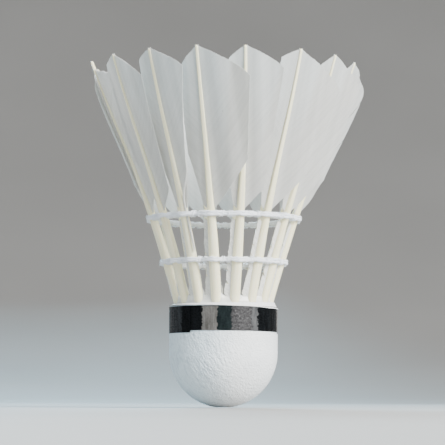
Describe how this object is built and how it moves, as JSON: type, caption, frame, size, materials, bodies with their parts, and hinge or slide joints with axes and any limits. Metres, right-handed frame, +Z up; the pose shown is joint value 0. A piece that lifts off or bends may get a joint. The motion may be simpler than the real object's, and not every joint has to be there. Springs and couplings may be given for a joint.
{
  "type": "badminton shuttlecock",
  "caption": "White feather shuttlecock: overlapping cut feathers stitched into an open cone on a rounded cork base with a leather cover and a black foil band.",
  "frame": {"origin": "middle of the nose's small flat, the lowest point of the base", "axes": "+Z up the shuttlecock's axis, from the nose to the feathers' tips; -Y towards the gap between the first and the last feather"},
  "size_m": [0.0653, 0.0645, 0.0826],
  "materials": {
    "quill": "satin",
    "feather_web": "matte",
    "thread": "matte",
    "natural_cork": "matte",
    "agglomerated_cork": "matte",
    "seat_cork": "matte",
    "white_leather": "satin",
    "black_foil": "gloss",
    "ribbon": "matte",
    "dried_glue": "gloss"
  },
  "bodies": {
    "root": {"cork_nose": "natural_cork", "cork_core": "agglomerated_cork", "cork_seat": "seat_cork", "leather_cover": "white_leather", "foil_band": "black_foil", "collar_ribbon": "ribbon", "glue_ring": "dried_glue", "thread_lower_outer": "thread", "thread_lower_inner": "thread", "thread_upper_outer": "thread", "thread_upper_inner": "thread", "feather_01_shaft": "quill", "feather_01_wide_web": "feather_web", "feather_01_narrow_web": "feather_web", "feather_02_shaft": "quill", "feather_02_wide_web": "feather_web", "feather_02_narrow_web": "feather_web", "feather_03_shaft": "quill", "feather_03_wide_web": "feather_web", "feather_03_narrow_web": "feather_web", "feather_04_shaft": "quill", "feather_04_wide_web": "feather_web", "feather_04_narrow_web": "feather_web", "feather_05_shaft": "quill", "feather_05_wide_web": "feather_web", "feather_05_narrow_web": "feather_web", "feather_06_shaft": "quill", "feather_06_wide_web": "feather_web", "feather_06_narrow_web": "feather_web", "feather_07_shaft": "quill", "feather_07_wide_web": "feather_web", "feather_07_narrow_web": "feather_web", "feather_08_shaft": "quill", "feather_08_wide_web": "feather_web", "feather_08_narrow_web": "feather_web", "feather_09_shaft": "quill", "feather_09_wide_web": "feather_web", "feather_09_narrow_web": "feather_web", "feather_10_shaft": "quill", "feather_10_wide_web": "feather_web", "feather_10_narrow_web": "feather_web", "feather_11_shaft": "quill", "feather_11_wide_web": "feather_web", "feather_11_narrow_web": "feather_web", "feather_12_shaft": "quill", "feather_12_wide_web": "feather_web", "feather_12_narrow_web": "feather_web", "feather_13_shaft": "quill", "feather_13_wide_web": "feather_web", "feather_13_narrow_web": "feather_web", "feather_14_shaft": "quill", "feather_14_wide_web": "feather_web", "feather_14_narrow_web": "feather_web", "feather_15_shaft": "quill", "feather_15_wide_web": "feather_web", "feather_15_narrow_web": "feather_web", "feather_16_shaft": "quill", "feather_16_wide_web": "feather_web", "feather_16_narrow_web": "feather_web"}
  },
  "joints": []
}
